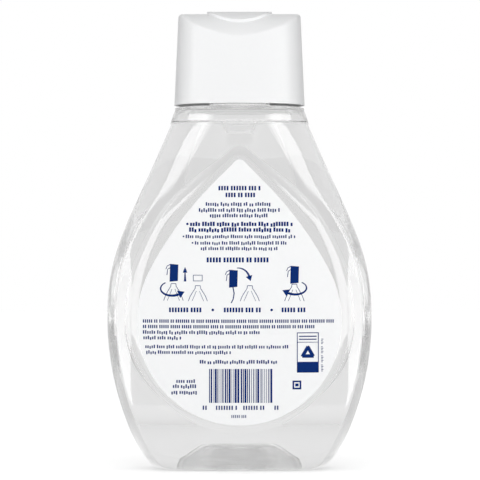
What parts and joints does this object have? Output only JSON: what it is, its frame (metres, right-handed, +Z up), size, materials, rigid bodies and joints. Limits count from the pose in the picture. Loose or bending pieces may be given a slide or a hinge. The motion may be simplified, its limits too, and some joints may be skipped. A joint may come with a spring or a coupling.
{
  "type": "dish soap refill bottle",
  "caption": "Clear blow-moulded refill bottle with a drop-shaped outline, filled with dish soap, with a back label and a wide oval screw cap.",
  "frame": {"origin": "on the surface it stands on, under the middle of the bottle", "axes": "+Z up along the bottle, the long side of the oval along X, the labelled face towards -Y"},
  "size_m": [0.11, 0.05, 0.1899],
  "materials": {
    "clear_bottle": "clear polished PET",
    "white_cap": "smooth moulded polypropylene",
    "liner_foam": "expanded foam sheet",
    "clear_liquid": "clear liquid",
    "label_film": "white printed film"
  },
  "bodies": {
    "bottle_body": {"bottle": "clear_bottle", "dish_soap": "clear_liquid", "back_label": "label_film"},
    "liner_body": {"seal_liner": "liner_foam"},
    "cap_body": {"cap": "white_cap"}
  },
  "joints": [
    {"name": "cap_rise", "type": "slide", "parent": "bottle_body", "child": "liner_body", "axis": [0, 0, 1], "range_m": [0, 0.026]},
    {"name": "cap_turn", "type": "hinge", "parent": "liner_body", "child": "cap_body", "pos_m": [0, 0, 0.176], "axis": [0, 0, 1], "range_deg": [0, 1110]}
  ],
  "couplings": [
    {"joint": "cap_rise", "follows": "cap_turn", "m_per_rad": 0.0013369}
  ]
}
